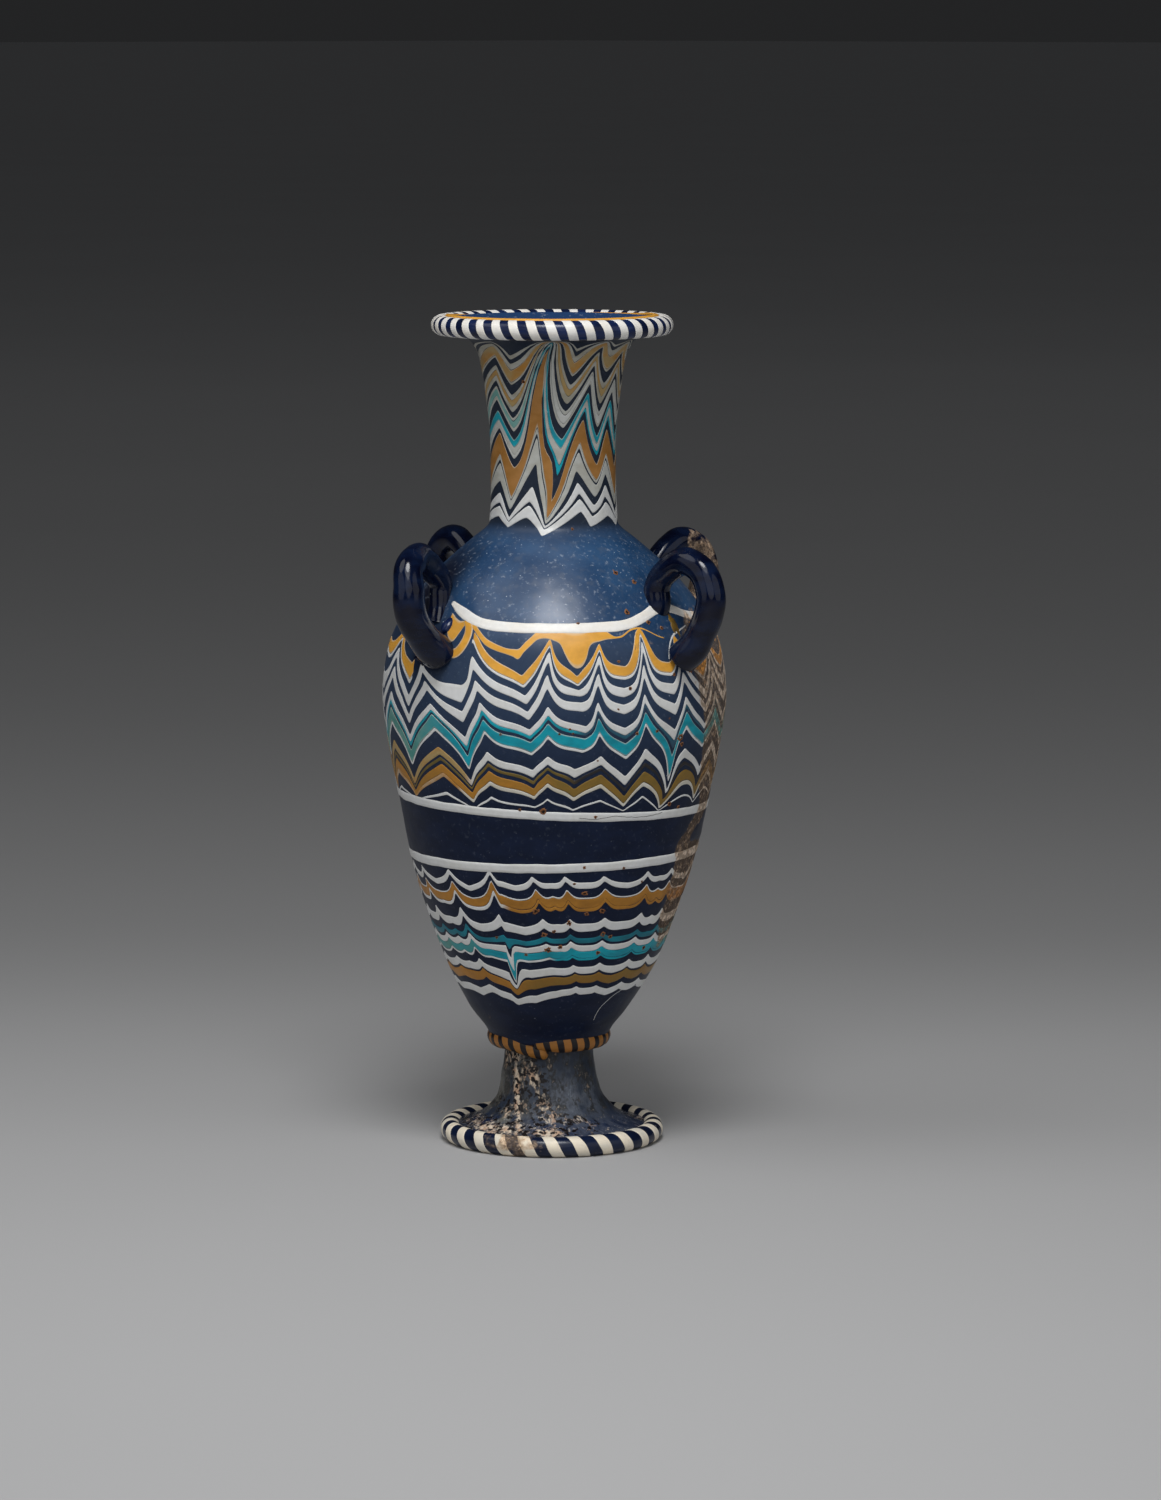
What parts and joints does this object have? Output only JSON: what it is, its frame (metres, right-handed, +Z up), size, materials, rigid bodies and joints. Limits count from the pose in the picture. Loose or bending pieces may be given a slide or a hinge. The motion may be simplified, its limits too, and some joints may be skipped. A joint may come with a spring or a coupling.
{
  "type": "amphoriskos",
  "caption": "Small core-formed glass flask with tall flared neck, combed trails, loop handles on the shoulder and a pedestal foot.",
  "frame": {"origin": "middle of the circle that the foot cord stands on, on the resting plane", "axes": "+Z up along the axis of the vessel; the handles stand near -Y, +X, +Y and -X"},
  "size_m": [0.0759, 0.0759, 0.144],
  "materials": {
    "navy_glass": "satin",
    "handle_glass": "polished",
    "rim_cord_glass": "polished",
    "foot_cord_glass": "weathered satin",
    "collar_glass": "satin",
    "weathered_glass": "weathered matte",
    "white_glass": "satin",
    "amber_glass": "satin",
    "turquoise_glass": "satin"
  },
  "bodies": {
    "root": {"vessel_wall": "navy_glass", "rim_cord": "rim_cord_glass", "rim_amber_thread": "amber_glass", "foot_pedestal": "weathered_glass", "foot_cord": "foot_cord_glass", "collar_cord": "collar_glass", "handle_front_left": "handle_glass", "handle_front_right": "handle_glass", "handle_back_right": "handle_glass", "handle_back_left": "handle_glass", "shoulder_band": "white_glass", "girdle_band_upper": "white_glass", "girdle_band_lower": "white_glass", "neck_trail_amber_top": "amber_glass", "neck_trail_pale": "white_glass", "neck_trail_turquoise": "turquoise_glass", "neck_trail_white_middle": "white_glass", "neck_trail_amber_broad": "amber_glass", "neck_trail_white_low": "white_glass", "neck_trail_white_base": "white_glass", "belly_trail_amber_garland": "amber_glass", "belly_trail_amber_upper": "amber_glass", "belly_trail_white_1": "white_glass", "belly_trail_white_2": "white_glass", "belly_trail_white_3": "white_glass", "belly_trail_turquoise": "turquoise_glass", "belly_trail_white_4": "white_glass", "belly_trail_amber_lower": "amber_glass", "belly_trail_white_fine": "white_glass", "lower_trail_white_1": "white_glass", "lower_trail_amber_1": "amber_glass", "lower_trail_white_2": "white_glass", "lower_trail_teal": "turquoise_glass", "lower_trail_turquoise": "turquoise_glass", "lower_trail_white_3": "white_glass", "lower_trail_amber_2": "amber_glass", "lower_trail_white_4": "white_glass"}
  },
  "joints": []
}
